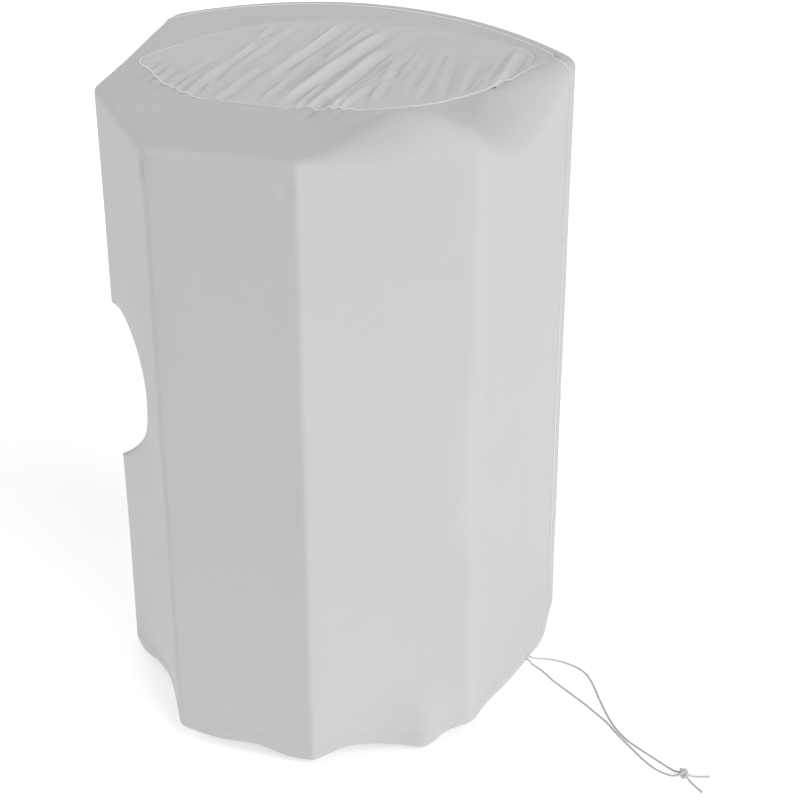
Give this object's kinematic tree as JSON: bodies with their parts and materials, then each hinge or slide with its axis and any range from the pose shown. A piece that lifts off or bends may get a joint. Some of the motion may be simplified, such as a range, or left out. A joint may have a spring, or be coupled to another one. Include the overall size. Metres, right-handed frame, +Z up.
{
  "type": "speaker cover",
  "caption": "Fitted cloth cover for an upright loudspeaker: angled rear walls, bowed front panel, oval top panel and a knotted drawcord at the hem.",
  "frame": {"origin": "the point under the top panel that rests on the loudspeaker, midway across the top", "axes": "+Z up, +X to the right seen from behind the cover, +Y from the rear wall towards the bowed front"},
  "size_m": [0.6592, 0.4344, 0.6413],
  "materials": {
    "cloth": "light grey, dull with a faint sheen",
    "thread": "white sewing thread on a turned seam",
    "cord": "thin light grey braided cord"
  },
  "bodies": {
    "root": {"wall_cloth": "cloth", "front_panel": "cloth", "top_panel": "cloth", "top_seam": "thread", "front_seam": "thread", "cord_upper": "cord", "cord_lower": "cord", "tail_upper": "cord", "tail_lower": "cord", "knot": "cord"}
  },
  "joints": []
}
